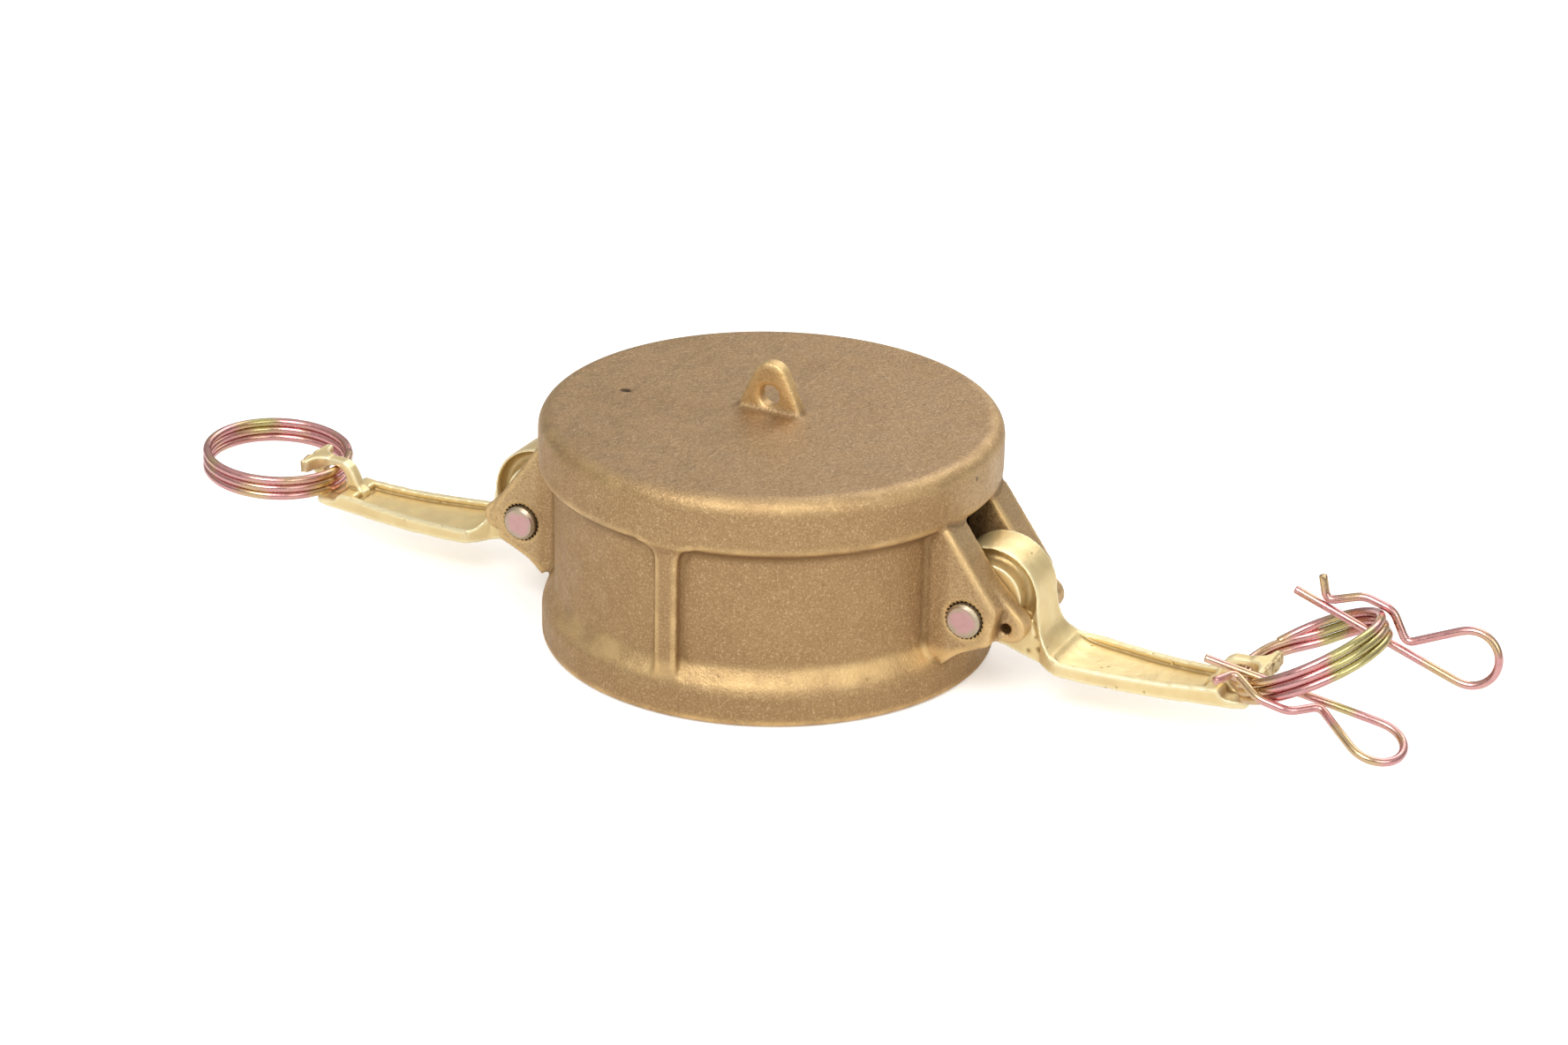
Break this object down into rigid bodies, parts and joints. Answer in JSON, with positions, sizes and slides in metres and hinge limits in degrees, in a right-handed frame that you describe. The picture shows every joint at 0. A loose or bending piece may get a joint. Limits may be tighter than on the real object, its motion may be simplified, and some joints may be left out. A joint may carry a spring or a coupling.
{
  "type": "camlock dust cap",
  "caption": "Cast brass cap with two hinged cam arms, pull rings and safety clips that closes the end of a cam-and-groove adapter.",
  "frame": {"origin": "centre of the mouth rim, on the cap's axis, in the plane the cap stands on", "axes": "+Z along the cap's axis towards its closed end, +X towards the arm whose ring carries the safety clips, Y along the mould's parting line"},
  "size_m": [0.3195, 0.105, 0.066],
  "materials": {
    "cast_brass": "sand-blasted casting",
    "arm_brass": "tumbled casting",
    "pin_steel": "drawn and cut",
    "zinc_wire": "yellow zinc plating",
    "rubber": "moulded"
  },
  "bodies": {
    "cap": {"cap_body": "cast_brass", "gasket": "rubber", "pin_right": "pin_steel", "pin_left": "pin_steel"},
    "right_arm": {"arm_right": "arm_brass"},
    "left_arm": {"arm_left": "arm_brass"},
    "right_ring": {"ring_right": "zinc_wire"},
    "left_ring": {"ring_left": "zinc_wire"},
    "front_clip": {"clip_front": "zinc_wire"},
    "rear_clip": {"clip_rear": "zinc_wire"}
  },
  "joints": [
    {"name": "right_arm_hinge", "type": "hinge", "parent": "cap", "child": "right_arm", "pos_m": [0.0557, 0, 0.0211], "axis": [0, -1, 0], "range_deg": [0, 100]},
    {"name": "left_arm_hinge", "type": "hinge", "parent": "cap", "child": "left_arm", "pos_m": [-0.0557, 0, 0.0211], "axis": [0, 1, 0], "range_deg": [0, 100]},
    {"name": "right_ring_swing", "type": "hinge", "parent": "right_arm", "child": "right_ring", "pos_m": [0.1154, 0, 0.0143], "axis": [0, -1, 0], "range_deg": [-15, 25]},
    {"name": "left_ring_swing", "type": "hinge", "parent": "left_arm", "child": "left_ring", "pos_m": [-0.1154, 0, 0.0143], "axis": [0, 1, 0], "range_deg": [-3, 90]},
    {"name": "front_clip_slide_round", "type": "hinge", "parent": "right_ring", "child": "front_clip", "pos_m": [0.13011, 0, 0.02262], "axis": [-0.4924, 0, 0.8704], "range_deg": [-5, 20]},
    {"name": "rear_clip_slide_round", "type": "hinge", "parent": "right_ring", "child": "rear_clip", "pos_m": [0.13011, 0, 0.02262], "axis": [-0.4924, 0, 0.8704], "range_deg": [-15, 30]}
  ]
}
